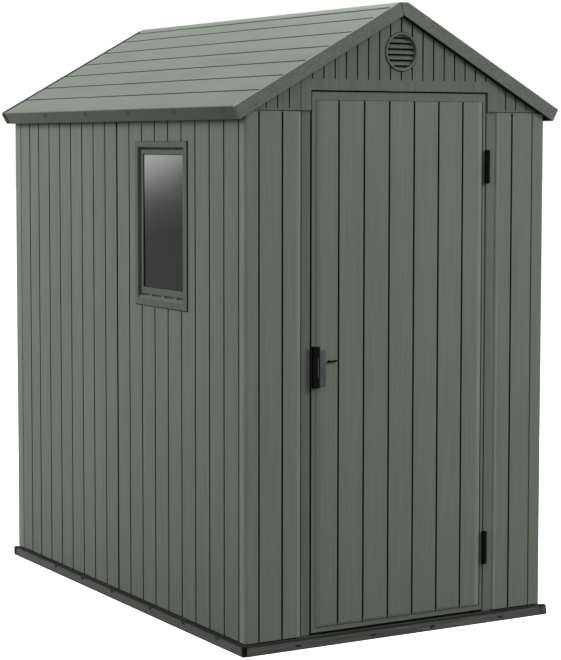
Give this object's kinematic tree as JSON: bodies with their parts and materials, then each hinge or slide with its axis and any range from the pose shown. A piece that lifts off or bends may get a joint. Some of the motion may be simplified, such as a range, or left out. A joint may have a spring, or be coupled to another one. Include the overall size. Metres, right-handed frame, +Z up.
{
  "type": "plastic garden tool shed",
  "caption": "Grey moulded-plastic tool shed with board-pattern walls, a pitched roof, a hinged door, a fixed side window and round louvred gable vents.",
  "frame": {"origin": "middle of the floor's underside, on the ground", "axes": "+Z up; +X to the right as one faces the door; the door is on the -Y side"},
  "size_m": [1.244, 1.836, 2.05],
  "materials": {
    "wall_plastic": "matte, fine vertical grain, warm grey",
    "door_plastic": "matte, fine vertical grain, warm grey",
    "roof_plastic": "matte, light warm grey",
    "floor_plastic": "matte, dark grey",
    "black_plastic": "satin black",
    "handle_grey": "satin dark grey",
    "hinge_steel": "black painted steel",
    "glazing": "smoked clear sheet"
  },
  "bodies": {
    "shed": {"floor_left": "floor_plastic", "floor_right": "floor_plastic", "post_front_left": "wall_plastic", "post_front_right": "wall_plastic", "post_back_left": "wall_plastic", "post_back_right": "wall_plastic", "front_panel_left": "wall_plastic", "front_panel_right": "wall_plastic", "side_panel_left_front": "wall_plastic", "side_panel_left_back": "wall_plastic", "side_panel_right_front": "wall_plastic", "side_panel_right_back": "wall_plastic", "back_panel_left": "wall_plastic", "back_panel_right": "wall_plastic", "gable_front": "wall_plastic", "gable_back": "wall_plastic", "vent_front": "wall_plastic", "vent_back": "wall_plastic", "roof_panel_left": "roof_plastic", "roof_panel_right": "roof_plastic", "ridge_cap": "roof_plastic", "barge_front_left": "wall_plastic", "barge_front_right": "wall_plastic", "barge_back_left": "wall_plastic", "barge_back_right": "wall_plastic", "eave_fascia_left": "wall_plastic", "eave_fascia_right": "wall_plastic", "window_frame": "wall_plastic", "window_sash": "wall_plastic", "window_glazing": "glazing", "window_sill": "wall_plastic", "hinge_upper_jamb_leaf": "black_plastic", "hinge_upper_pin": "hinge_steel", "hinge_lower_jamb_leaf": "black_plastic", "hinge_lower_pin": "hinge_steel"},
    "door": {"door_panel": "door_plastic", "handle_plate": "handle_grey", "handle_grip": "black_plastic", "latch_lever": "black_plastic", "hinge_upper_door_leaf": "black_plastic", "hinge_lower_door_leaf": "black_plastic"}
  },
  "joints": [
    {"name": "door_hinge", "type": "hinge", "parent": "shed", "child": "door", "pos_m": [0.3405, -0.9043, 0.9], "axis": [0, 0, 1], "range_deg": [0, 110]}
  ]
}
